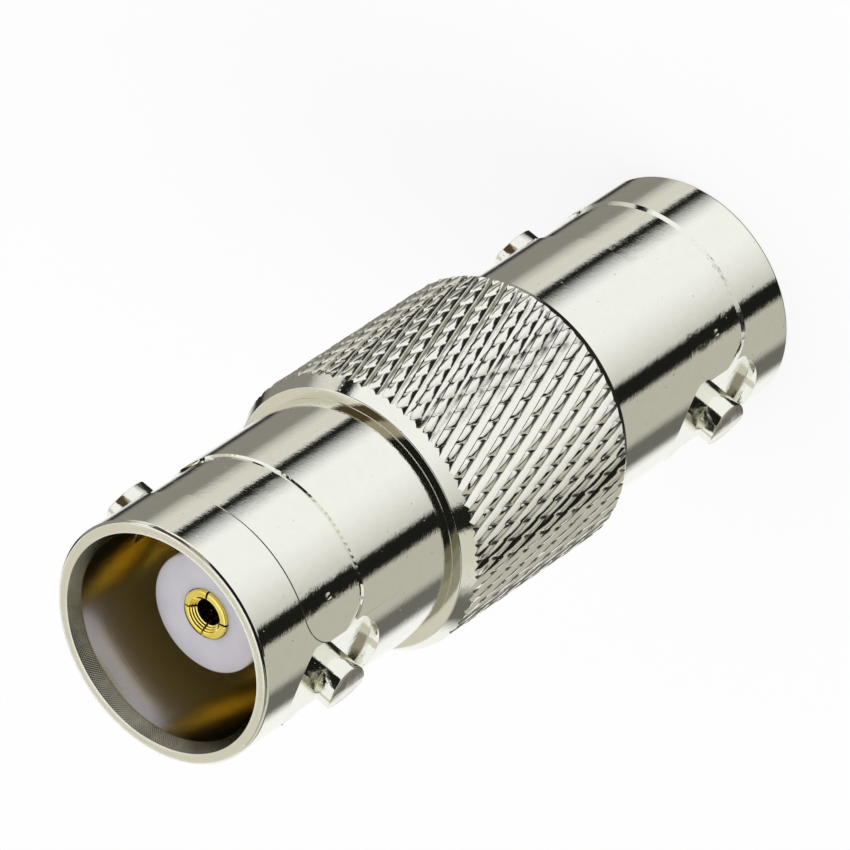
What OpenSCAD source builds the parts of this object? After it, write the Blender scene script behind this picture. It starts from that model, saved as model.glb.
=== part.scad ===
// Jack to jack coupler for bayonet-lock coaxial plugs, standing on its rear mouth.
// The axis is Z, the lugs lie along X, and the two jacks are the same shape, turned end for end.

/* [Overall] */
// Length from mouth to mouth
overall_length = 31.4; // [29:0.1:36]
// Length of each jack, from its mouth to the face of the grip
jack_length = 10.7; // [10.2:0.1:12]

/* [Barrel] */
// Outside diameter of the barrels
barrel_diameter = 9.65; // [9.5:0.01:9.8]
// Chamfer on the outer edge of each mouth
mouth_edge = 0.1; // [0.05:0.01:0.2]
// Bore of each mouth
mouth_bore = 8.15; // [7.9:0.01:8.3]
// Diameter of the tapered lead-in at the mouth's face
lead_in_diameter = 8.7; // [8.5:0.01:9]
// Depth of the tapered lead-in
lead_in_depth = 0.5; // [0.2:0.05:1]
// Depth of each mouth, down to its web
socket_depth = 8.4; // [7.5:0.1:9]
// Thickness of the web that holds the insulator
web_thickness = 1.2; // [0.8:0.1:1.6]

/* [Bayonet lugs] */
// Distance from the mouth to the centre of the lugs
lug_distance = 4.2; // [3.9:0.05:5]
// Diameter of a lug
lug_diameter = 1.9; // [1.6:0.05:2.1]
// Distance over the tips of both lugs
lug_span = 11; // [10.6:0.05:11.4]
// Diameter of the milled pocket around a lug
pocket_diameter = 5; // [4:0.1:5.4]
// Distance between the flat floors of the two pockets
pocket_span = 8.7; // [8.6:0.02:9.2]
// Width of the shallow groove milled between the lugs
groove_width = 3.1; // [2.4:0.1:3.4]
// Depth of the shallow groove
groove_depth = 0.1; // [0.05:0.01:0.15]
// Angle from a lug to where the groove's cutter stops
groove_stop = 39; // [32:1:60]

/* [Grip] */
// Diameter over the knurl's points
grip_diameter = 11.2; // [10.9:0.05:12.5]
// Outer diameter of the flat end faces of the grip
grip_face_diameter = 10.48; // [10.2:0.02:10.7]
// Length of each tapered end of the grip
grip_taper = 0.6; // [0.3:0.05:1]
// Number of knurl points around the grip
knurl_count = 52; // [36:1:60]
// Length of one knurl diamond along the axis
knurl_pitch = 1.93; // [1.4:0.01:2.4]
// Depth of the knurl
knurl_depth = 0.2; // [0.1:0.01:0.3]
// Depth of the knurl where it runs out on the tapered ends
knurl_end_depth = 0.1; // [0.05:0.01:0.2]

/* [Pressed joint] */
// Diameter of the front shell's spigot
spigot_diameter = 7.8; // [7.4:0.05:8.4]
// Length of the front shell's spigot
spigot_length = 4.6; // [3:0.1:4.8]
// Radial room in the pressed joint
press_room = 0.01; // [0:0.005:0.02]
// Room past the end of the spigot
spigot_end_room = 0.3; // [0.1:0.1:0.5]

/* [Insulators] */
// Diameter of the insulator nose that stands in the mouth
nose_diameter = 4.74; // [4.4:0.02:5]
// Distance from the mouth down to the nose's face
nose_recess = 2.75; // [2.3:0.05:3.6]
// Diameter of the insulator's body inside the shells
insulator_diameter = 6.4; // [5.6:0.1:6.8]
// Radial room between an insulator and the metal around it
insulator_room = 0.03; // [0.02:0.01:0.08]

/* [Centre contact] */
// Outside diameter of the contact
contact_diameter = 1.95; // [1.8:0.01:2.2]
// Bore of the socket at each end
contact_bore = 1.35; // [1.3:0.01:1.5]
// Depth of the socket at each end
contact_bore_depth = 6; // [5:0.1:8]
// Height of the contact's end above the nose's face
contact_reach = 0.25; // [0.02:0.01:0.4]
// Chamfer at the mouth of the socket
contact_chamfer = 0.12; // [0.05:0.01:0.18]
// Width of a spring slot
slot_width = 0.12; // [0.08:0.01:0.3]
// Length of a spring slot
slot_length = 4.5; // [3:0.1:5]
// Turn of the slots from the lugs
slot_turn = 14; // [0:1:90]
// Diameter of the shoulder that the insulators hold
shoulder_diameter = 3.2; // [2.6:0.1:4]
// Thickness of the shoulder
shoulder_thickness = 1; // [0.6:0.1:1.6]
// Radial room between the contact and the insulators
contact_room = 0.03; // [0.02:0.01:0.08]

/* [Hidden] */
$fn = 96;

// Extra length of a cut past the surface that it opens
past = 1;
middle = overall_length / 2;
barrel_radius = barrel_diameter / 2;
grip_radius = grip_diameter / 2;
grip_face_radius = grip_face_diameter / 2;
grip_end = overall_length - jack_length;
seat_height = socket_depth + web_thickness;
spigot_foot = grip_end - spigot_length;
nose_hole = nose_diameter / 2 + insulator_room;
seat_radius = insulator_diameter / 2 + insulator_room;
contact_hole = contact_diameter / 2 + contact_room;
contact_end = nose_recess - contact_reach;
knurl_columns = 2 * knurl_count;
knurl_length = grip_end - jack_length - 2 * grip_taper;
knurl_rows = max(2, round(2 * knurl_length / knurl_pitch));

// The same piece at the front end, mouth up
module at_front() {
    translate([0, 0, overall_length]) mirror([0, 0, 1]) children();
}

// Both sides of a jack, a half turn apart
module on_both_sides() {
    for (turn = [0, 180]) rotate(turn) children();
}

// A round cutter or pin that points along X at the lug's height
module radial_cylinder(diameter, from_axis, to_axis) {
    translate([from_axis, 0, lug_distance])
        rotate([0, 90, 0]) cylinder(d = diameter, h = to_axis - from_axis);
}

// Shallow groove between two lugs, with the round ends that an end mill leaves
module lug_groove() {
    floor_radius = barrel_radius - groove_depth;
    rotate(groove_stop) rotate_extrude(angle = 180 - 2 * groove_stop)
        translate([floor_radius, lug_distance - groove_width / 2])
            square([groove_depth + past, groove_width]);
    for (turn = [groove_stop, 180 - groove_stop])
        rotate(turn) radial_cylinder(groove_width, floor_radius, barrel_radius + past);
}

// A lug, turned to its tip diameter and left standing in its pocket
module lug() {
    intersection() {
        radial_cylinder(lug_diameter, mouth_bore / 2 + (pocket_span - mouth_bore) / 4, barrel_radius + past);
        cylinder(d = lug_span, h = overall_length);
    }
}

// Outside of one jack, mouth down, up to the given length
module jack_outside(length) {
    difference() {
        rotate_extrude() polygon([
            [0, 0],
            [barrel_radius - mouth_edge, 0],
            [barrel_radius, mouth_edge],
            [barrel_radius, length],
            [0, length]
        ]);
        on_both_sides() {
            lug_groove();
            radial_cylinder(pocket_diameter, pocket_span / 2, barrel_radius + past);
        }
    }
    on_both_sides() lug();
}

// Open inside of one jack, mouth down: lead-in, socket and the hole through its web
module jack_cavity() {
    rotate_extrude() polygon([
        [0, -past],
        [lead_in_diameter / 2, -past],
        [lead_in_diameter / 2, 0],
        [mouth_bore / 2, lead_in_depth],
        [mouth_bore / 2, socket_depth],
        [nose_hole, socket_depth],
        [nose_hole, seat_height + past],
        [0, seat_height + past]
    ]);
}

// One point of the knurled surface: points and valleys alternate along rows and columns, and the first and
// last rows lie on the grip's tapered ends
function knurl_point(column, row) =
    let (
        turn = 360 * column / knurl_columns,
        high = (column + row) % 2 == 0,
        at_end = row == 0 || row == knurl_rows,
        radius = high ? grip_radius : grip_radius - (at_end ? knurl_end_depth : knurl_depth),
        on_taper = grip_taper * (radius - grip_face_radius) / (grip_radius - grip_face_radius),
        height = row == 0 ? jack_length + on_taper
            : row == knurl_rows ? grip_end - on_taper
            : jack_length + grip_taper + knurl_length * row / knurl_rows
    )
    [radius * cos(turn), radius * sin(turn), height];

// One corner of a grip end face
function face_point(column, height) =
    let (turn = 360 * column / knurl_columns)
    [grip_face_radius * cos(turn), grip_face_radius * sin(turn), height];

// Solid grip: two flat ends, two tapers and the diamond knurl, with an edge along every groove
module grip() {
    columns = [0 : knurl_columns - 1];
    function knurl_index(column, row) = row * knurl_columns + column % knurl_columns;
    knurl = [for (row = [0 : knurl_rows], column = columns) knurl_point(column, row)];
    low_face = [for (column = columns) face_point(column, jack_length)];
    high_face = [for (column = columns) face_point(column, grip_end)];
    low_start = len(knurl);
    high_start = low_start + knurl_columns;
    function low_index(column) = low_start + column % knurl_columns;
    function high_index(column) = high_start + column % knurl_columns;
    diamond_faces = [
        for (row = [0 : knurl_rows - 1], column = columns)
            let (
                a = knurl_index(column, row),
                b = knurl_index(column, row + 1),
                c = knurl_index(column + 1, row + 1),
                d = knurl_index(column + 1, row),
                a_is_high = (column + row) % 2 == 0
            )
            each a_is_high ? [[a, b, d], [b, c, d]] : [[a, b, c], [a, c, d]]
    ];
    taper_faces = [
        for (column = columns)
            let (
                low = knurl_index(column, 0),
                low_next = knurl_index(column + 1, 0),
                high = knurl_index(column, knurl_rows),
                high_next = knurl_index(column + 1, knurl_rows)
            )
            each [
                [low_index(column), low, low_next],
                [low_index(column), low_next, low_index(column + 1)],
                [high, high_index(column), high_next],
                [high_next, high_index(column), high_index(column + 1)]
            ]
    ];
    end_faces = [
        [for (column = columns) low_index(column)],
        [for (column = columns) high_index(knurl_columns - 1 - column)]
    ];
    polyhedron(concat(knurl, low_face, high_face), concat(diamond_faces, taper_faces, end_faces));
}

// Rear jack and knurled grip, turned from one bar and bored from both ends
module knurled_body() {
    color([0.78, 0.77, 0.72]) difference() {
        union() {
            jack_outside(jack_length + past);
            grip();
        }
        jack_cavity();
        translate([0, 0, seat_height]) cylinder(r = seat_radius, h = grip_end - seat_height + past);
        translate([0, 0, spigot_foot - spigot_end_room])
            cylinder(r = spigot_diameter / 2 + press_room, h = spigot_length + spigot_end_room + past);
    }
}

// Front jack with the spigot that is pressed into the body
module front_shell() {
    color([0.8, 0.79, 0.74]) difference() {
        union() {
            at_front() jack_outside(jack_length);
            translate([0, 0, spigot_foot]) cylinder(d = spigot_diameter, h = spigot_length + past);
        }
        at_front() jack_cavity();
        translate([0, 0, spigot_foot - past])
            cylinder(r = seat_radius, h = overall_length - seat_height - spigot_foot + past);
    }
}

// Stepped insulator, nose down, with the contact's hole and half of its shoulder's recess
module insulator() {
    rotate_extrude() polygon([
        [contact_hole, nose_recess],
        [nose_diameter / 2, nose_recess],
        [nose_diameter / 2, seat_height],
        [insulator_diameter / 2, seat_height],
        [insulator_diameter / 2, middle],
        [shoulder_diameter / 2 + contact_room, middle],
        [shoulder_diameter / 2 + contact_room, middle - shoulder_thickness / 2],
        [contact_hole, middle - shoulder_thickness / 2]
    ]);
}

// Front insulator, its nose in the front mouth
module front_insulator() {
    color([0.95, 0.94, 0.96]) at_front() insulator();
}

// Rear insulator, its nose in the rear mouth
module rear_insulator() {
    color([0.95, 0.94, 0.96]) insulator();
}

// Socket, its entry chamfer and its four slots, cut into one end of the contact
module contact_socket() {
    rotate_extrude() polygon([
        [0, contact_end - past],
        [contact_bore / 2 + contact_chamfer, contact_end - past],
        [contact_bore / 2 + contact_chamfer, contact_end],
        [contact_bore / 2, contact_end + contact_chamfer],
        [contact_bore / 2, contact_end + contact_bore_depth],
        [0, contact_end + contact_bore_depth + contact_bore / 4]
    ]);
    for (turn = [slot_turn, slot_turn + 90])
        rotate(turn) translate([-contact_diameter, -slot_width / 2, contact_end - past])
            cube([2 * contact_diameter, slot_width, slot_length + past]);
}

// Contact with a slotted socket at each end and the shoulder that holds it
module centre_contact() {
    color([0.9, 0.72, 0.25]) difference() {
        union() {
            translate([0, 0, contact_end])
                cylinder(d = contact_diameter, h = overall_length - 2 * contact_end);
            translate([0, 0, middle - shoulder_thickness / 2])
                cylinder(d = shoulder_diameter, h = shoulder_thickness);
        }
        contact_socket();
        at_front() contact_socket();
    }
}

knurled_body();
front_shell();
front_insulator();
rear_insulator();
centre_contact();
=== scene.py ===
import math

import bmesh
import bpy
from mathutils import Matrix, Vector, noise


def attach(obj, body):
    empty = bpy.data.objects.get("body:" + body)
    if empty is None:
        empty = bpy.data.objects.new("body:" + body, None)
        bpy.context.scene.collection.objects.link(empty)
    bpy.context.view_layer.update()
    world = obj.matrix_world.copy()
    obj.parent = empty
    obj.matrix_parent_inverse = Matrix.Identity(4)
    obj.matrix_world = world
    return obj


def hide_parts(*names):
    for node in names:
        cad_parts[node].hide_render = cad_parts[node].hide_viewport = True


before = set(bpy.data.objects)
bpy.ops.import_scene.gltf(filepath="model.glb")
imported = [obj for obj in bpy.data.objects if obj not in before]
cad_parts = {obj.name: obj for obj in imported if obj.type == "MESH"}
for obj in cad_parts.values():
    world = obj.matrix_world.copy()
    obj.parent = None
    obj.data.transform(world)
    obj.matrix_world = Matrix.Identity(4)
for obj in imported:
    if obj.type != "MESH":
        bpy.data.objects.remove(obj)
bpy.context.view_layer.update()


# Centre contact: one socket for both jacks, turned from a spring alloy rod and gold plated.
# Two saw cuts across each end split it into four fingers that grip the plug's pin, and the two
# insulators clamp the shoulder in the middle.
mm = 0.001
overall_length = 31.4
nose_recess = 2.55
contact_reach = 0.12
contact_radius = 0.975
contact_edge_depth = 0.08
contact_face_radius = 0.95
contact_face_depth = 0.032
contact_mouth_radius = 0.76
countersink_steps = 4
step_width = 0.06
step_depth = 0.082
ledge_width = 0.052
ledge_depth = 0.017
closed_length = 1.6
spread_length = 0.2
contact_bore = 0.675
contact_bore_depth = 5.7
drill_shoulder = 0.55
drill_cone = 0.2
drill_point = 0.5
shoulder_radius = 1.6
shoulder_low = 15.2
shoulder_high = 16.2
slot_width = 0.085
slot_length = 4.5
slot_turn = 14
saw_span = 4
smooth_limit = math.radians(32)


def turned(outline, steps, closed=True):
    """Spin an outline of (radius, height, corner round), in millimetres, about the coupler's axis."""
    work = bmesh.new()
    points = [work.verts.new((radius, 0, height)) for radius, height, _ in outline]
    for first, second in zip(points, points[1:]):
        work.edges.new((first, second))
    if closed:
        work.edges.new((points[-1], points[0]))
    rounds = {}
    for point, corner in zip(points, outline):
        if corner[2]:
            rounds.setdefault(corner[2], []).append(point)
    for size, corners in rounds.items():
        bmesh.ops.bevel(
            work, geom=corners, offset=size, offset_type="OFFSET", segments=3,
            profile=0.5, affect="VERTICES", material=-1,
        )
    bmesh.ops.spin(
        work, geom=work.verts[:] + work.edges[:], cent=(0, 0, 0), axis=(0, 0, 1),
        angle=2 * math.pi, steps=steps, use_merge=True,
    )
    bmesh.ops.remove_doubles(work, verts=work.verts[:], dist=1e-5)
    bmesh.ops.recalc_face_normals(work, faces=work.faces[:])
    return work


def as_object(work, name):
    """Put a finished bmesh into the scene as an object at the origin."""
    mesh = bpy.data.meshes.new(name)
    work.to_mesh(mesh)
    work.free()
    made = bpy.data.objects.new(name, mesh)
    bpy.context.scene.collection.objects.link(made)
    return made


def machined(blank, tools, operation):
    """Cut each tool out of the blank, or join it on, and give back one closed solid."""
    stock = as_object(blank, "stock")
    cutters = [as_object(tool, "cutter") for tool in tools]
    for cutter in cutters:
        pass_over = stock.modifiers.new("cut", "BOOLEAN")
        pass_over.operation = operation
        pass_over.solver = "EXACT"
        pass_over.object = cutter
    bpy.context.view_layer.update()
    result = bmesh.new()
    result.from_object(stock, bpy.context.evaluated_depsgraph_get())
    for used in [stock] + cutters:
        mesh = used.data
        bpy.data.objects.remove(used)
        bpy.data.meshes.remove(mesh)
    return result


def finished(work, name, materials, replaced):
    """Bring a solid to metres, shade it smooth up to its real edges and seat it in the frame."""
    bmesh.ops.scale(work, vec=(mm, mm, mm), verts=work.verts[:])
    for face in work.faces:
        face.smooth = True
    piece = as_object(work, name)
    for material in materials:
        piece.data.materials.append(material)
    piece.data.set_sharp_from_angle(angle=smooth_limit)
    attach(piece, "root")
    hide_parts(replaced)
    return piece


def socket_end(end, inward):
    """One end of the contact: a coned face, a stepped countersink, the closed fingers and the bore."""
    outline = [
        (contact_radius, contact_edge_depth, 0), (contact_face_radius, contact_face_depth, 0),
        (contact_mouth_radius, 0, 0),
    ]
    radius, depth = contact_mouth_radius, 0
    for _ in range(countersink_steps):
        outline.append((radius - ledge_width, depth + ledge_depth, 0))
        radius, depth = radius - step_width, depth + step_depth
        outline.append((radius, depth, 0))
    outline += [
        (radius, closed_length, 0), (contact_bore, closed_length + spread_length, 0),
        (contact_bore, contact_bore_depth, 0), (drill_shoulder, contact_bore_depth + drill_cone, 0),
        (0, contact_bore_depth + drill_point, 0),
    ]
    return [(radius, end + depth * inward, size) for radius, depth, size in outline]


front_end = overall_length - nose_recess + contact_reach
rear_end = nose_recess - contact_reach
contact = turned(
    socket_end(front_end, -1)[::-1]
    + [
        (contact_radius, shoulder_high, 0.03), (shoulder_radius, shoulder_high, 0.05),
        (shoulder_radius, shoulder_low, 0.05), (contact_radius, shoulder_low, 0.03),
    ]
    + socket_end(rear_end, 1),
    96, closed=False,
)
saw_cuts = []
for end in (front_end, rear_end):
    for turn in (slot_turn, slot_turn + 90):
        saw = bmesh.new()
        bmesh.ops.create_cube(saw, size=1)
        bmesh.ops.scale(saw, vec=(saw_span, slot_width, 2 * slot_length), verts=saw.verts[:])
        bmesh.ops.rotate(saw, matrix=Matrix.Rotation(math.radians(turn), 3, "Z"), verts=saw.verts[:])
        bmesh.ops.translate(saw, vec=(0, 0, end), verts=saw.verts[:])
        saw_cuts.append(saw)
contact = machined(contact, saw_cuts, "DIFFERENCE")


def node(material, kind, **inputs):
    """A shader node with some of its inputs set; an underscore stands for a space in an input's name."""
    made = material.node_tree.nodes.new(kind)
    for name, value in inputs.items():
        made.inputs[name.replace("_", " ")].default_value = value
    return made


def sum_node(material, operation, first, second):
    """A Math node on two sockets or numbers."""
    made = node(material, "ShaderNodeMath")
    made.operation = operation
    for place, value in zip(made.inputs, (first, second)):
        if isinstance(value, (int, float)):
            place.default_value = value
        else:
            material.node_tree.links.new(value, place)
    return made.outputs[0]


def turning_marks(material, links, place, pitch, along_axis):
    """Fine tool lines: rings by radius on a faced end, or rings along the axis in a bore."""
    if along_axis:
        split = node(material, "ShaderNodeSeparateXYZ")
        links.new(place, split.inputs[0])
        reach = split.outputs["Z"]
    else:
        flat = node(material, "ShaderNodeVectorMath")
        flat.operation = "MULTIPLY"
        flat.inputs[1].default_value = (1, 1, 0)
        links.new(place, flat.inputs[0])
        radius = node(material, "ShaderNodeVectorMath")
        radius.operation = "LENGTH"
        links.new(flat.outputs[0], radius.inputs[0])
        reach = radius.outputs["Value"]
    lines = node(material, "ShaderNodeTexNoise", Scale=1 / (pitch * mm), Detail=3.0)
    lines.noise_dimensions = "1D"
    links.new(reach, lines.inputs["W"])
    return lines.outputs["Fac"]


def turned_finish(name, colours, clouding, roughness, rings):
    """Two colours clouded together, a gloss that follows the clouds, and the fine rings of turning."""
    material = bpy.data.materials.new(name)
    material.use_nodes = True
    links = material.node_tree.links
    shader = material.node_tree.nodes["Principled BSDF"]
    place = node(material, "ShaderNodeTexCoord").outputs["Object"]
    clouds = node(material, "ShaderNodeTexNoise", Scale=clouding["scale"], Detail=clouding["detail"])
    links.new(place, clouds.inputs["Vector"])
    tint = node(material, "ShaderNodeValToRGB")
    tint.color_ramp.elements[0].position = 0.3
    tint.color_ramp.elements[1].position = 0.7
    for stop, colour in zip(tint.color_ramp.elements, colours):
        stop.color = (*colour, 1)
    links.new(clouds.outputs["Fac"], tint.inputs["Fac"])
    links.new(tint.outputs["Color"], shader.inputs["Base Color"])
    gloss = node(material, "ShaderNodeMapRange", To_Min=roughness[0], To_Max=roughness[1])
    links.new(clouds.outputs["Fac"], gloss.inputs["Value"])
    links.new(gloss.outputs["Result"], shader.inputs["Roughness"])
    lines = turning_marks(material, links, place, rings["pitch"], along_axis=False)
    relief = node(material, "ShaderNodeBump", Strength=rings["strength"], Distance=rings["height"] * mm)
    links.new(lines, relief.inputs["Height"])
    links.new(relief.outputs["Normal"], shader.inputs["Normal"])
    return material, shader


gold, shader = turned_finish(
    "gold_plate", ((1.0, 0.78, 0.14), (1.0, 0.87, 0.26)), {"scale": 2500.0, "detail": 4.0},
    (0.06, 0.12), {"pitch": 0.06, "strength": 0.6, "height": 0.002},
)
shader.inputs["Metallic"].default_value = 1.0
finished(contact, "socket_contact", [gold], "centre_contact")


# Insulators: two like stepped bushes turned from white PTFE rod, one in each jack.
# The thick part is held behind the web of the shell, and the nose stands free in the mouth.
# The two meet in the middle, where a recess in each takes half of the contact's shoulder.
nose_radius = 2.37
seat_radius = 3.2
web_depth = 9.6
contact_hole = 1.005
shoulder_hole = 1.63
recess_floor = shoulder_low - 0.02
meeting_height = overall_length / 2 - 0.005

ptfe, shader = turned_finish(
    "white_ptfe", ((0.64, 0.61, 0.675), (0.69, 0.665, 0.72)), {"scale": 900.0, "detail": 5.0},
    (0.38, 0.55), {"pitch": 0.07, "strength": 0.4, "height": 0.003},
)
shader.inputs["IOR"].default_value = 1.36
shader.inputs["Subsurface Weight"].default_value = 0.8
shader.inputs["Subsurface Radius"].default_value = (1.0, 0.9, 0.8)
shader.inputs["Subsurface Scale"].default_value = 0.0012

for name, replaced, flipped in (
    ("front_bush", "front_insulator", True),
    ("rear_bush", "rear_insulator", False),
):
    bush = turned(
        [
            (contact_hole, nose_recess, 0.04), (nose_radius, nose_recess, 0.08),
            (nose_radius, web_depth, 0), (seat_radius, web_depth, 0.05),
            (seat_radius, meeting_height, 0.03), (shoulder_hole, meeting_height, 0.03),
            (shoulder_hole, recess_floor, 0), (contact_hole, recess_floor, 0.02),
        ],
        128,
    )
    if flipped:
        bmesh.ops.scale(bush, vec=(1, 1, -1), verts=bush.verts[:])
        bmesh.ops.translate(bush, vec=(0, 0, overall_length), verts=bush.verts[:])
        bmesh.ops.recalc_face_normals(bush, faces=bush.faces[:])
    finished(bush, name, [ptfe], replaced)


# Knurled body: the rear jack and the grip, turned from one brass bar and bright nickel plated.
# A diamond knurl is rolled into the grip, the bayonet lugs are left standing by a hollow mill,
# and a shallow groove is milled round the barrel between them.
jack_length = 10.7
barrel_radius = 4.825
barrel_chamfer = 0.1
mouth_radius = 4.075
mouth_depth = 8.4
lead_in_radius = 4.35
lead_in_depth = 0.5
nose_hole = 2.4
seat_hole = 3.23
groove_floor = 4.725
groove_half = 1.55
groove_reach = math.radians(49.4)
groove_rise = 0.6
groove_lean = 0.2
groove_slope = 0.86
strip_count = 54
strip_width = 0.106
plunge_turn = 43
plunge_radius = 0.62
plunge_depth = 0.025
plunge_offset = 0.15
pocket_floor = 4.35
pocket_radius = 2.5
pocket_height = 2
pocket_fillet = 0.03
lug_distance = 4.2
lug_radius = 0.95
lug_tip = 5.5
lug_root = 0.3
tip_flat = 0.16
tip_slope = 0.19
edge_break = 0.014
edge_zone_side = 4.05
edge_zone_radius = 4.5
edge_zone_half = 3
grip_radius = 5.6
grip_face_radius = 5.24
grip_taper = 0.6
grip_end = overall_length - jack_length
spigot_hole = 3.91
spigot_seat = 15.8
knurl_count = 52
knurl_pitch = 1.93
knurl_margin = 0.7
knurl_fade_start = 0.2
knurl_fade_length = 0.7
knurl_end_share = 0.45
tooth_unevenness = 0.012
tooth_wander = 0.014
ring_outside = 6.4
round_steps = 288


def jack_mouth():
    """The outline of a jack's rim and bore, from the web out to the barrel's first edge."""
    return [
        (nose_hole, web_depth, 0.03), (nose_hole, mouth_depth, 0.03),
        (mouth_radius, mouth_depth, 0.08), (mouth_radius, lead_in_depth, 0.04),
        (lead_in_radius, 0, 0.02), (barrel_radius - barrel_chamfer, 0, 0.03),
        (barrel_radius, barrel_chamfer, 0.04),
    ]


def groove_cutter(middle):
    """The path of a mill while the barrel turns under it: the wall towards the mouth slopes."""
    work = bmesh.new()
    bmesh.ops.create_circle(work, cap_ends=True, radius=groove_half, segments=64)
    bmesh.ops.rotate(work, matrix=Matrix.Rotation(math.pi / 64, 3, "Z"), verts=work.verts[:])
    half = groove_reach * barrel_radius
    for point in work.verts:
        point.co.x += math.copysign(half, point.co.x)
    for step in range(-strip_count, strip_count + 1):
        bmesh.ops.bisect_plane(
            work, geom=work.verts[:] + work.edges[:] + work.faces[:], dist=1e-6,
            plane_co=(step * strip_width, 0, 0), plane_no=(1, 0, 0),
        )
    bmesh.ops.remove_doubles(work, verts=work.verts[:], dist=0.02)
    raised = bmesh.ops.extrude_face_region(work, geom=work.faces[:])
    top = [part for part in raised["geom"] if isinstance(part, bmesh.types.BMVert)]
    bmesh.ops.translate(work, vec=(0, 0, groove_rise), verts=top)
    for point in top:
        side = point.co.y / groove_half
        point.co.y += groove_lean * side if side > 0 else -groove_slope * side ** 2
    bmesh.ops.recalc_face_normals(work, faces=work.faces[:])
    for point in work.verts:
        angle = math.radians(middle) + point.co.x / barrel_radius
        reach = groove_floor + point.co.z
        point.co = (reach * math.cos(angle), reach * math.sin(angle), lug_distance + point.co.y)
    return work


def plunge_mark(angle):
    """The small hollow that the mill's point leaves where it goes in at the groove's end."""
    work = bmesh.new()
    bmesh.ops.create_uvsphere(work, u_segments=48, v_segments=48, radius=plunge_radius)
    reach = groove_floor - plunge_depth + plunge_radius
    spot = (reach * math.cos(angle), reach * math.sin(angle), lug_distance - plunge_offset)
    bmesh.ops.translate(work, vec=spot, verts=work.verts[:])
    return work


def pocket_cutter(side):
    """The hollow mill's outer wall: it leaves a flat round the lug."""
    work = bmesh.new()
    bmesh.ops.create_cone(
        work, cap_ends=True, segments=96, radius1=pocket_radius, radius2=pocket_radius,
        depth=pocket_height,
    )
    foot = [edge for edge in work.edges if max(point.co.z for point in edge.verts) < 0]
    bmesh.ops.bevel(
        work, geom=foot, offset=pocket_fillet, offset_type="OFFSET", segments=3,
        profile=0.5, affect="EDGES", material=-1,
    )
    bmesh.ops.translate(work, vec=(0, 0, pocket_height / 2 + pocket_floor), verts=work.verts[:])
    bmesh.ops.rotate(work, matrix=Matrix.Rotation(side * math.pi / 2, 3, "Y"), verts=work.verts[:])
    bmesh.ops.translate(work, vec=(0, 0, lug_distance), verts=work.verts[:])
    return work


def lug_pin(side):
    """A round lug with a sharp foot and a tip of three flats, two of them leaning to the sides."""
    height = lug_tip - pocket_floor
    work = turned(
        [
            (0, height, 0), (lug_radius, height, 0.03), (lug_radius, -lug_root, 0), (0, -lug_root, 0),
        ],
        64, closed=False,
    )
    for ridge in (-tip_flat, tip_flat):
        bmesh.ops.bisect_plane(
            work, geom=work.verts[:] + work.edges[:] + work.faces[:], dist=1e-6,
            plane_co=(0, ridge, 0), plane_no=(0, 1, 0),
        )
    bmesh.ops.translate(work, vec=(0, 0, pocket_floor), verts=work.verts[:])
    bmesh.ops.rotate(work, matrix=Matrix.Rotation(side * math.pi / 2, 3, "Y"), verts=work.verts[:])
    for point in work.verts:
        if abs(point.co.x) > pocket_floor + height / 2:
            point.co.x -= side * tip_slope * max(abs(point.co.y) - tip_flat, 0)
    bmesh.ops.translate(work, vec=(0, 0, lug_distance), verts=work.verts[:])
    return work


def beside_lug(place):
    """Whether a place is on the outside of the barrel, near enough to a lug for a broken edge."""
    return (
        abs(place.x) > edge_zone_side and abs(place.z - lug_distance) < edge_zone_half
        and math.hypot(place.x, place.y) > edge_zone_radius
    )


def with_lugs(blank):
    """Mill the grooves and the pockets, add the lugs, and break the edges round the lugs."""
    cutters = [pocket_cutter(1), pocket_cutter(-1), groove_cutter(90), groove_cutter(270)]
    work = machined(blank, cutters, "DIFFERENCE")
    bmesh.ops.remove_doubles(work, verts=work.verts[:], dist=0.008)
    bmesh.ops.dissolve_degenerate(work, edges=work.edges[:], dist=0.002)
    sharp = [
        edge for edge in work.edges
        if edge.is_manifold and edge.is_convex and edge.calc_face_angle() > math.radians(24)
        and all(beside_lug(point.co) for point in edge.verts)
    ]
    bmesh.ops.bevel(
        work, geom=sharp, offset=edge_break, offset_type="OFFSET", segments=2,
        profile=0.5, affect="EDGES", material=-1, clamp_overlap=True,
    )
    marks = [plunge_mark(math.radians(turn)) for turn in (plunge_turn, plunge_turn + 180)]
    work = machined(work, marks, "DIFFERENCE")
    return machined(work, [lug_pin(1), lug_pin(-1)], "UNION")


def rolled_depth(place, profile):
    """How far the rolled surface lies under the crests, for a place from 0 to 1 across a tooth."""
    for (near, first), (far, second) in zip(profile, profile[1:]):
        if place <= far + 1e-6:
            return first + (second - first) * (place - near) / (far - near)
    return profile[-1][1]


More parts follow.
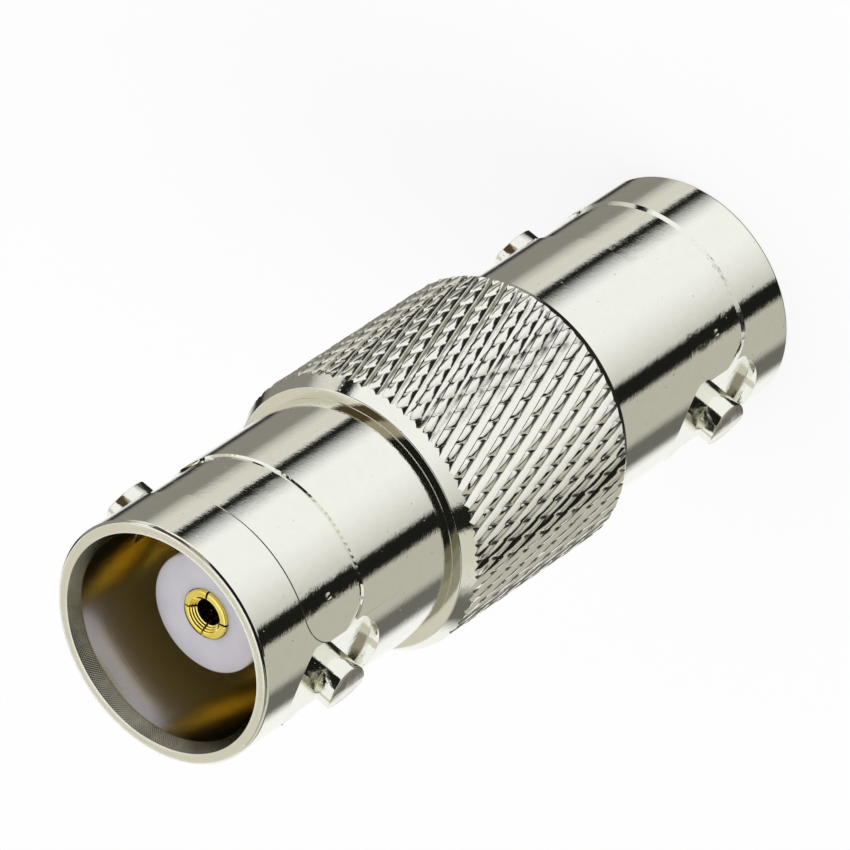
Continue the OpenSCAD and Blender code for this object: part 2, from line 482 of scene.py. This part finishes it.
def knurl_cell():
    """One diamond, laid flat: a crowned tooth between deep grooves and shallow ones across them.

    The shallow grooves hardly cut the ridge that the deep ones have raised beside them.
    """
    deep_groove = [
        (0, 0.12), (0.075, 0.085), (0.17, 0.036), (0.3, 0.008), (0.42, 0.002), (0.58, 0.018),
        (0.64, 0.002), (0.68, 0.008), (0.905, 0.088), (1, 0.12),
    ]
    shallow_groove = [(0, 0.085), (0.15, 0.014), (0.5, 0), (0.85, 0.014), (1, 0.085)]
    work = bmesh.new()
    bmesh.ops.create_grid(work, x_segments=1, y_segments=1, size=0.5)
    bmesh.ops.translate(work, vec=(0.5, 0.5, 0), verts=work.verts[:])
    cuts = [((1, 0, 0), place) for place, _ in deep_groove[1:-1]]
    cuts += [((0, 1, 0), place) for place, _ in shallow_groove[1:-1]]
    for direction, place in cuts:
        bmesh.ops.bisect_plane(
            work, geom=work.verts[:] + work.edges[:] + work.faces[:], dist=1e-6,
            plane_co=Vector(direction) * place, plane_no=direction,
        )

    def corner(across, along):
        return min(work.verts, key=lambda point: (point.co - Vector((across, along, 0))).length)

    for low_across, high_across in ((0.075, 0.17), (0.905, 0.68)):
        for low_along, high_along in ((0, 0.15), (1, 0.85)):
            foot = corner(low_across, low_along)
            bmesh.ops.connect_verts(work, verts=[foot, corner(high_across, high_along)])
    column = 2 * math.pi / knurl_count * grip_radius
    for point in work.verts:
        across, along = point.co.x, point.co.y
        deep = rolled_depth(across, deep_groove)
        shallow = rolled_depth(along, shallow_groove) * (0.3 if across > 0.6 else 1)
        on_crown = deep < 0.04 and shallow < 0.02
        point.co = (
            column * (across - along) / 2, knurl_pitch * (across + along) / 2,
            -(deep + shallow if on_crown else max(deep, shallow)),
        )
    return work


def set_radius(points, radius):
    """Move points straight out from the axis, or in towards it, to one radius."""
    for point in points:
        scale = radius / math.hypot(point.co.x, point.co.y)
        point.co.x *= scale
        point.co.y *= scale


def knurl_ring():
    """The space round the finished grip: a ring whose inside has the diamonds pressed into it."""
    lowest = jack_length - knurl_margin
    highest = grip_end + knurl_margin
    rows = math.ceil((highest - lowest) / knurl_pitch * 2) + 2
    work = knurl_cell()
    for point in work.verts:
        angle = point.co.x / grip_radius
        reach = grip_radius + point.co.z
        point.co = (reach * math.cos(angle), reach * math.sin(angle), lowest - knurl_pitch + point.co.y)
    half_column = Matrix.Rotation(math.pi / knurl_count, 3, "Z")
    row = work.verts[:] + work.edges[:] + work.faces[:]
    for _ in range(rows):
        row = bmesh.ops.duplicate(work, geom=row)["geom"]
        moved = [part for part in row if isinstance(part, bmesh.types.BMVert)]
        bmesh.ops.rotate(work, matrix=half_column, verts=moved)
        bmesh.ops.translate(work, vec=(0, 0, knurl_pitch / 2), verts=moved)
    bmesh.ops.spin(
        work, geom=work.verts[:] + work.edges[:] + work.faces[:], cent=(0, 0, 0), axis=(0, 0, 1),
        angle=2 * math.pi * (knurl_count - 1) / knurl_count, steps=knurl_count - 1,
        use_duplicate=True,
    )
    bmesh.ops.remove_doubles(work, verts=work.verts[:], dist=0.004)
    for height, way in ((lowest, -1), (highest, 1)):
        bmesh.ops.bisect_plane(
            work, geom=work.verts[:] + work.edges[:] + work.faces[:], dist=1e-5,
            plane_co=(0, 0, height), plane_no=(0, 0, way), clear_outer=True,
        )
    for point in work.verts:
        depth = grip_radius - math.hypot(point.co.x, point.co.y)
        inset = min(point.co.z - jack_length, grip_end - point.co.z)
        fade = min(max((inset - knurl_fade_start) / knurl_fade_length, 0.0), 1.0)
        share = knurl_end_share + (1 - knurl_end_share) * fade
        unevenness = tooth_unevenness + tooth_unevenness * noise.noise(point.co * 2.3)
        set_radius([point], grip_radius - depth * share - unevenness)
        shift = tooth_wander * noise.noise(point.co * 1.9 + Vector((7, 3, 5)))
        point.co.z += shift * fade
    ends = [edge for edge in work.edges if edge.is_boundary]
    outward = bmesh.ops.extrude_edge_only(work, edges=ends)["geom"]
    set_radius([part for part in outward if isinstance(part, bmesh.types.BMVert)], ring_outside)
    bmesh.ops.bridge_loops(work, edges=[edge for edge in work.edges if edge.is_boundary])
    bmesh.ops.recalc_face_normals(work, faces=work.faces[:])
    return work


blank_radius = grip_radius + 0.1
blank_taper = grip_taper * (blank_radius - grip_face_radius) / (grip_radius - grip_face_radius)
body = turned(
    jack_mouth()
    + [
        (barrel_radius, jack_length, 0.02), (grip_face_radius, jack_length, 0.03),
        (blank_radius, jack_length + blank_taper, 0), (blank_radius, grip_end - blank_taper, 0),
        (grip_face_radius, grip_end, 0.03), (spigot_hole, grip_end, 0.03),
        (spigot_hole, spigot_seat, 0), (seat_hole, spigot_seat, 0), (seat_hole, web_depth, 0.03),
    ],
    round_steps,
)
body = with_lugs(body)
body = machined(body, [knurl_ring()], "DIFFERENCE")


def chatter(material, links, place, count, pitch):
    """Small crossed waves, count of them in a turn, as a cutter leaves them when it shakes."""
    split = node(material, "ShaderNodeSeparateXYZ")
    links.new(place, split.inputs[0])
    turn = sum_node(material, "ARCTAN2", split.outputs["Y"], split.outputs["X"])
    round_wave = sum_node(material, "SINE", sum_node(material, "MULTIPLY", turn, count), 0)
    depth_turns = sum_node(material, "MULTIPLY", split.outputs["Z"], 2 * math.pi / (pitch * mm))
    depth_wave = sum_node(material, "SINE", depth_turns, 0)
    return sum_node(material, "MULTIPLY", round_wave, depth_wave)


def nickel_finish(name, colours, roughness, grain, pits, marks=None):
    """Nickel plate: a fine grain with a few pits, and the lines or waves of the tool under it.

    Two colours are clouded together; four follow the depth of a bore from its mouth to its floor.
    """
    material = bpy.data.materials.new(name)
    material.use_nodes = True
    links = material.node_tree.links
    shader = material.node_tree.nodes["Principled BSDF"]
    shader.inputs["Metallic"].default_value = 1.0
    place = node(material, "ShaderNodeTexCoord").outputs["Object"]
    stain = node(material, "ShaderNodeTexNoise", Scale=2600.0, Detail=6.0)
    links.new(place, stain.inputs["Vector"])
    tint = node(material, "ShaderNodeValToRGB")
    tint.color_ramp.elements[0].position = 0.35
    tint.color_ramp.elements[1].position = 0.65
    shade = stain.outputs["Fac"]
    # A bore's four colours go by depth from the nearer end: a darker grey near the mouth, a painted
    # shade, then a brighter brass further in, partly painted light.
    if len(colours) == 4:
        split = node(material, "ShaderNodeSeparateXYZ")
        links.new(place, split.inputs[0])
        half = overall_length / 2 * mm
        from_middle = sum_node(material, "SUBTRACT", split.outputs["Z"], half)
        depth = sum_node(material, "SUBTRACT", half, sum_node(material, "ABSOLUTE", from_middle, 0))
        share = node(material, "ShaderNodeMapRange", From_Min=0.9 * mm, From_Max=7.5 * mm)
        links.new(depth, share.inputs["Value"])
        shade = sum_node(
            material, "ADD", sum_node(material, "MULTIPLY", shade, 0.1),
            sum_node(material, "MULTIPLY", share.outputs["Result"], 0.9),
        )
        tint.color_ramp.elements[0].position = 0.05
        tint.color_ramp.elements[1].position = 0.3
        tint.color_ramp.elements.new(0.6)
        tint.color_ramp.elements.new(0.85)
    for stop, colour in zip(tint.color_ramp.elements, colours):
        stop.color = (*colour, 1)
    links.new(shade, tint.inputs["Fac"])
    links.new(tint.outputs["Color"], shader.inputs["Base Color"])
    gloss = node(material, "ShaderNodeMapRange", To_Min=roughness * 0.75, To_Max=roughness * 1.3)
    links.new(stain.outputs["Fac"], gloss.inputs["Value"])
    links.new(gloss.outputs["Result"], shader.inputs["Roughness"])
    drawn = node(material, "ShaderNodeVectorMath")
    drawn.operation = "MULTIPLY"
    drawn.inputs[1].default_value = (1 / grain["length"], 1 / grain["length"], 1)
    links.new(place, drawn.inputs[0])
    texture = node(material, "ShaderNodeTexNoise", Scale=grain["scale"], Detail=3.0, Roughness=0.6)
    links.new(drawn.outputs[0], texture.inputs["Vector"])
    relief = node(material, "ShaderNodeBump", Strength=1.0, Distance=grain["height"] * mm)
    links.new(texture.outputs["Fac"], relief.inputs["Height"])
    holes = node(material, "ShaderNodeTexVoronoi", Scale=pits["scale"])
    links.new(place, holes.inputs["Vector"])
    hole_shape = node(material, "ShaderNodeMapRange", From_Min=0.03, From_Max=pits["size"])
    links.new(holes.outputs["Distance"], hole_shape.inputs["Value"])
    pitted = node(material, "ShaderNodeBump", Strength=1.0, Distance=pits["depth"] * mm)
    links.new(hole_shape.outputs["Result"], pitted.inputs["Height"])
    links.new(relief.outputs["Normal"], pitted.inputs["Normal"])
    normal = pitted.outputs["Normal"]
    if marks:
        if marks["kind"] == "chatter":
            lines = chatter(material, links, place, marks["count"], marks["pitch"])
        elif marks["kind"] == "milled":
            waves = node(material, "ShaderNodeTexNoise", Scale=1 / (marks["pitch"] * mm), Detail=2.0)
            links.new(place, waves.inputs["Vector"])
            lines = waves.outputs["Fac"]
        else:
            lines = turning_marks(material, links, place, marks["pitch"], marks["kind"] == "bored")
        cut = node(material, "ShaderNodeBump", Strength=1.0, Distance=marks["height"] * mm)
        links.new(lines, cut.inputs["Height"])
        links.new(normal, cut.inputs["Normal"])
        normal = cut.outputs["Normal"]
    links.new(normal, shader.inputs["Normal"])
    return material


nickel = ((0.855, 0.86, 0.785), (0.875, 0.88, 0.805))
few_pits = {"scale": 1900.0, "size": 0.07, "depth": 0.004}
turned_grain = {"scale": 14000.0, "length": 3.0, "height": 0.0034}
fine_grain = {"scale": 14000.0, "length": 1.0, "height": 0.0012}
finishes = [
    nickel_finish("bright_nickel", nickel, 0.05, turned_grain, few_pits),
    nickel_finish(
        "faced_nickel", nickel, 0.05, fine_grain, few_pits,
        {"kind": "faced", "pitch": 0.05, "height": 0.001},
    ),
    # Down a bore the colour is painted light and shade as much as plate: a dull grey near the mouth,
    # darker than the plate outside as painted shade, then a bright brass further in, partly brass under
    # thin plate and partly painted light.
    nickel_finish(
        "bored_nickel_painted_light_and_shade",
        ((0.58, 0.565, 0.53), (0.86, 0.74, 0.32), (0.86, 0.74, 0.32), (0.85, 0.75, 0.4)), 0.16,
        fine_grain, few_pits, {"kind": "bored", "pitch": 0.07, "height": 0.002},
    ),
    # The lead-in chamfer's nickel is painted far darker than the plate: a painted shade at the bore's
    # entry, over real chatter marks.
    nickel_finish(
        "chattered_nickel_painted_shade", ((0.31, 0.295, 0.24), (0.4, 0.385, 0.32)), 0.06,
        fine_grain, few_pits, {"kind": "chatter", "height": 0.005, "count": 260, "pitch": 0.1},
    ),
    nickel_finish(
        "rim_nickel", nickel, 0.08, {"scale": 11000.0, "length": 1.0, "height": 0.004}, few_pits,
    ),
    nickel_finish(
        "milled_nickel", nickel, 0.05, turned_grain, few_pits,
        {"kind": "milled", "pitch": 0.55, "height": 0.008},
    ),
    nickel_finish(
        "lug_tip_nickel", ((0.74, 0.72, 0.64), (0.88, 0.86, 0.78)), 0.2, fine_grain, few_pits,
        {"kind": "bored", "pitch": 0.3, "height": 0.006},
    ),
    nickel_finish(
        "groove_wall_nickel", nickel, 0.05, fine_grain, few_pits,
        {"kind": "chatter", "height": 0.006, "count": 118, "pitch": 0.9},
    ),
    nickel_finish(
        "knurled_nickel", ((0.85, 0.845, 0.78), (0.88, 0.875, 0.81)), 0.06,
        {"scale": 9000.0, "length": 1.0, "height": 0.0016}, few_pits,
    ),
]
bright, faced, bored, lead_in, rim, milled, tip, groove_wall, knurled = range(len(finishes))


def sort_finishes(work):
    """Each face's finish, by its place on the turned and milled blank."""
    for face in work.faces:
        centre = face.calc_center_median()
        radius = math.hypot(centre.x, centre.y)
        from_end = min(centre.z, overall_length - centre.z)
        on_taper = 0.49 < abs(face.normal.z) < 0.54
        if radius < lead_in_radius - 0.005:
            in_lead_in = radius > mouth_radius + 0.005 and from_end < lead_in_depth
            # The lead-in faces take the dark nickel, a painted shade.
            finish = lead_in if in_lead_in else bored
        elif radius < barrel_radius - 0.01 and abs(from_end - lug_distance) < pocket_radius + 0.1:
            in_groove = radius > groove_floor and abs(face.normal.z) > 0.9
            finish = groove_wall if in_groove else milled
        elif from_end < 7 and abs(centre.x) > lug_tip - 0.2 and abs(face.normal.x) > 0.9:
            finish = tip
        elif abs(face.normal.z) > 0.95:
            finish = rim if from_end < 1 else faced
        elif radius > grip_radius - 0.3 and from_end > jack_length + 0.1 and not on_taper:
            finish = knurled
        else:
            finish = bright
        face.material_index = finish


def true_normals(piece):
    """Give the machined faces the normals of the real cylinders, cones and flats under the facets."""
    mesh = piece.data
    normals = [corner.vector.copy() for corner in mesh.corner_normals]
    near = 1.2e-6
    slope = math.atan2(grip_radius - grip_face_radius, grip_taper)
    for face in mesh.polygons:
        points = [mesh.vertices[index].co for index in face.vertices]
        on_flat = all(abs(abs(point.x) - pocket_floor * mm) < near for point in points)
        on_taper = (
            math.hypot(face.center.x, face.center.y) > grip_face_radius * mm
            and abs(abs(face.normal.z) - math.sin(slope)) < 0.02
        )
        for index in face.loop_indices:
            point = mesh.vertices[mesh.loops[index].vertex_index].co
            outward = Vector((point.x, point.y, 0)).normalized()
            radius = math.hypot(point.x, point.y)
            on_round = any(abs(radius - size * mm) < near for size in (barrel_radius, groove_floor))
            if on_flat:
                normals[index] = Vector((math.copysign(1, point.x), 0, 0))
            elif on_taper:
                normals[index] = outward * math.cos(slope)
                normals[index].z = math.copysign(math.sin(slope), face.normal.z)
            elif on_round and normals[index].dot(outward) > 0.85:
                normals[index] = outward
    mesh.normals_split_custom_set(normals)


sort_finishes(body)
rear = finished(body, "rear_jack_and_grip", finishes, "knurled_body")
true_normals(rear)


# Front shell: the near jack, a second turned and nickel plated piece with the same mouth and lugs.
# Its spigot is pressed into the knurled body, and the joint shows as a line in the grip's corner.
spigot_radius = 3.9
spigot_end = 15.3
shell = turned(
    jack_mouth()
    + [
        (barrel_radius, jack_length, 0.03), (spigot_radius, jack_length, 0.03),
        (spigot_radius, spigot_end, 0.1), (seat_hole, spigot_end, 0.05), (seat_hole, web_depth, 0.03),
    ],
    round_steps,
)
shell = with_lugs(shell)
bmesh.ops.scale(shell, vec=(1, 1, -1), verts=shell.verts[:])
bmesh.ops.translate(shell, vec=(0, 0, overall_length), verts=shell.verts[:])
bmesh.ops.recalc_face_normals(shell, faces=shell.faces[:])
sort_finishes(shell)
front = finished(shell, "front_jack", finishes[:knurled], "front_shell")
true_normals(front)


# Floor: a plain white sweep that the coupler stands on. A part of its shade stays, so that the
# coupler's soft shadow lies on it. In the picture the coupler lies on its side in a white room,
# so its metal mirrors the white surround in place of the sheet that it stands on here.
floor_mesh = bmesh.new()
bmesh.ops.create_grid(floor_mesh, x_segments=1, y_segments=1, size=3)
floor = as_object(floor_mesh, "floor")
floor.visible_glossy = False


def seen_directly(material):
    """One for a ray that shows the white ground itself: to the camera, in metal or through glass."""
    ray = node(material, "ShaderNodeLightPath")
    seen = sum_node(material, "MAXIMUM", ray.outputs["Is Camera Ray"], ray.outputs["Is Glossy Ray"])
    return sum_node(material, "MAXIMUM", seen, ray.outputs["Is Transmission Ray"])


paper = bpy.data.materials.new("white_paper")
paper.use_nodes = True
links = paper.node_tree.links
shader = paper.node_tree.nodes["Principled BSDF"]
shader.inputs["Base Color"].default_value = (0.93, 0.93, 0.93, 1)
shader.inputs["Roughness"].default_value = 0.9
shader.inputs["Specular IOR Level"].default_value = 0.0
white = node(paper, "ShaderNodeEmission", Strength=1.0)
mixed = node(paper, "ShaderNodeMixShader")
links.new(sum_node(paper, "MULTIPLY", seen_directly(paper), 0.8), mixed.inputs["Fac"])
links.new(shader.outputs[0], mixed.inputs[1])
links.new(white.outputs[0], mixed.inputs[2])
links.new(mixed.outputs[0], paper.node_tree.nodes["Material Output"].inputs["Surface"])
floor.data.materials.append(paper)


# Studio boards: dark and grey boards round the coupler that glow and paint the reflections which
# give shape to the bright metal, as a photographer's boards would. Their edges are soft, and only
# the metal sees them: the camera, the floor and the shadows do not.
view_azimuth = math.radians(-23.4)
view_elevation = math.asin(0.6758)
board_distance = 0.42
board_spacing = 0.002
boards = []


def board(name, colour, turn, soft=(1, 1), height=(-58, 24), edge=5):
    """A glowing board far round the coupler, a painted reflection placed where a barrel seen from the
    camera mirrors it.

    turn is where on the barrel it shows, in degrees from the camera's side, height is how far up
    it stands, and soft and edge are the widths over which its sides and ends fade. Each board
    stands a little further away than the one before it, so the first ones cover the later ones.
    """
    away = board_distance + board_spacing * len(boards)
    work = bmesh.new()
    cover = work.verts.layers.float.new("cover")
    bmesh.ops.create_grid(work, x_segments=40, y_segments=24, size=0.5)
    camera_side = math.radians(-90) + view_azimuth
    first, last = turn[0] - soft[0], turn[1] + soft[1]
    low, high = max(height[0] - edge, -90), min(height[1] + edge, 90)
    for point in work.verts:
        shown = first + (last - first) * (point.co.x + 0.5)
        rise = low + (high - low) * (point.co.y + 0.5)
        shares = [1]
        if soft[0]:
            shares.append((shown - first) / soft[0])
        if soft[1]:
            shares.append((last - shown) / soft[1])
        if low > -90:
            shares.append((rise - low) / edge)
        if high < 90:
            shares.append((high - rise) / edge)
        point[cover] = max(min(shares), 0) ** 1.5
        heading = camera_side - 2 * math.radians(shown)
        flat = away * math.cos(math.radians(rise))
        point.co = (
            flat * math.cos(heading), flat * math.sin(heading),
            overall_length / 2 * mm + away * math.sin(math.radians(rise)),
        )
    made = as_object(work, name)
    material = bpy.data.materials.new(name)
    material.use_nodes = True
    links = material.node_tree.links
    share = node(material, "ShaderNodeAttribute")
    share.attribute_name = "cover"
    mixed = node(material, "ShaderNodeMixShader")
    links.new(share.outputs["Fac"], mixed.inputs["Fac"])
    links.new(node(material, "ShaderNodeBsdfTransparent").outputs[0], mixed.inputs[1])
    glow = node(material, "ShaderNodeEmission", Color=(*colour, 1), Strength=1.0)
    links.new(glow.outputs[0], mixed.inputs[2])
    links.new(mixed.outputs[0], material.node_tree.nodes["Material Output"].inputs["Surface"])
    made.data.materials.append(material)
    made.visible_camera = False
    made.visible_diffuse = False
    made.visible_transmission = False
    made.visible_shadow = False
    boards.append(made)


black = (0.012, 0.012, 0.01)
board("board_below", (0.02, 0.02, 0.017), (-90, 90), (0, 0), (-90, -59), 4)
board("board_back_low", (0.1, 0.096, 0.085), (27, 90), (4, 0), (-60, -52), 3)
board("board_left_edge", (0.03, 0.028, 0.025), (-77.5, -73.6), (6, 3.5), (-58, 15), 3)
board("board_black_left", black, (-38.3, -34.8), (1.5, 11), (-58, -31), 4)
board("board_black_taper", black, (-42.5, -39), (1.5, 3), (2, 24), 4)
board("board_black_right", black, (18.2, 25.5), (2, 2))
board("board_slate", (0.16, 0.155, 0.14), (49.5, 59.5), (4, 7), (-58, 2), 5)
board("board_grey", (0.27, 0.26, 0.23), (-72, -54.5), (3, 8))
board("board_olive", (0.74, 0.72, 0.66), (-51, -40), (4, 1), (-58, -37), 4)
board("board_olive_taper", (0.74, 0.72, 0.66), (-53, -44), (3, 1), (2, 24), 4)
board("board_fall_off", (0.62, 0.61, 0.58), (17, 18.5), (24, 0.5))
board("board_beige", (0.53, 0.51, 0.45), (22, 48), (1, 2), (-58, 2), 5)
board("board_beige_taper", (0.68, 0.67, 0.58), (25, 70), (1, 8), (8, 24), 5)
board("board_over_camera", black, (-18, 60), (1, 2), (56, 74), 2)
for name, colour, turn in (
    ("board_camera_side", black, (-18, 34)),
    ("board_beige_high", (0.38, 0.34, 0.25), (-29.5, -18)),
    ("board_brown_high", (0.08, 0.058, 0.027), (-46, -29.5)),
    ("board_dark_olive_high", (0.17, 0.15, 0.1), (34, 41)),
    ("board_olive_high", (0.25, 0.23, 0.17), (41, 50)),
    ("board_sand_high", (0.34, 0.31, 0.25), (50, 72)),
):
    board(name, colour, turn, (1, 1), (27, 56), 3)
board("board_cream_high", (0.69, 0.655, 0.565), (72, 132), (1, 1), (36, 48), 1.5)
board("board_over_lugs", black, (-66, -34), (2, 2), (66, 80), 1.5)


# Studio light: a plain white surround, which lights a little less brightly than it shows in the
# metal, and one soft lamp hung over the table, which the metal does not mirror.
world = bpy.data.worlds.new("white_surround")
world.use_nodes = True
surround = world.node_tree.nodes["Background"]
surround.inputs["Color"].default_value = (1, 1, 1, 1)
lift = sum_node(world, "MULTIPLY", seen_directly(world), 0.15)
world.node_tree.links.new(sum_node(world, "ADD", lift, 0.85), surround.inputs["Strength"])
world.cycles.sampling_method = "NONE"
bpy.context.scene.world = world
lamp_data = bpy.data.lights.new("soft_lamp", "AREA")
lamp_data.shape = "DISK"
lamp_data.size = 0.35
lamp_data.energy = 0.9
lamp = bpy.data.objects.new("soft_lamp", lamp_data)
lamp.location = (-0.35, -0.1, 0.45)
lamp.rotation_euler = (Vector((0, 0, 0.015)) - lamp.location).to_track_quat("-Z", "Y").to_euler()
lamp.visible_glossy = False
bpy.context.scene.collection.objects.link(lamp)


# Camera: a long lens that looks down on the near mouth, rolled so that the coupler lies across
# the picture as it does in the photograph. Its distance and its shift, to the right and up, are
# in metres.
picture_width = 850
focal_pixels = 8920
sensor_width = 36
camera_distance = 0.32796
camera_shift = (-0.000238, 0.001383)
roll = math.radians(-123.66)
across = Vector((math.cos(view_azimuth), math.sin(view_azimuth), 0))
back = Vector(
    (
        math.sin(view_azimuth) * math.cos(view_elevation),
        -math.cos(view_azimuth) * math.cos(view_elevation),
        math.sin(view_elevation),
    )
)
upward = back.cross(across)
right = math.cos(roll) * across + math.sin(roll) * upward
up = back.cross(right)
camera_data = bpy.data.cameras.new("camera")
camera_data.sensor_width = sensor_width
camera_data.lens = sensor_width * focal_pixels / picture_width
camera_data.clip_start = 0.01
camera = bpy.data.objects.new("camera", camera_data)
centre = Vector((0, 0, overall_length / 2 * mm))
spot = centre + back * camera_distance + right * camera_shift[0] + up * camera_shift[1]
camera.matrix_world = Matrix.Translation(spot) @ Matrix((right, up, back)).transposed().to_4x4()
bpy.context.scene.collection.objects.link(camera)
bpy.context.scene.camera = camera
bpy.context.scene.view_settings.view_transform = "Standard"
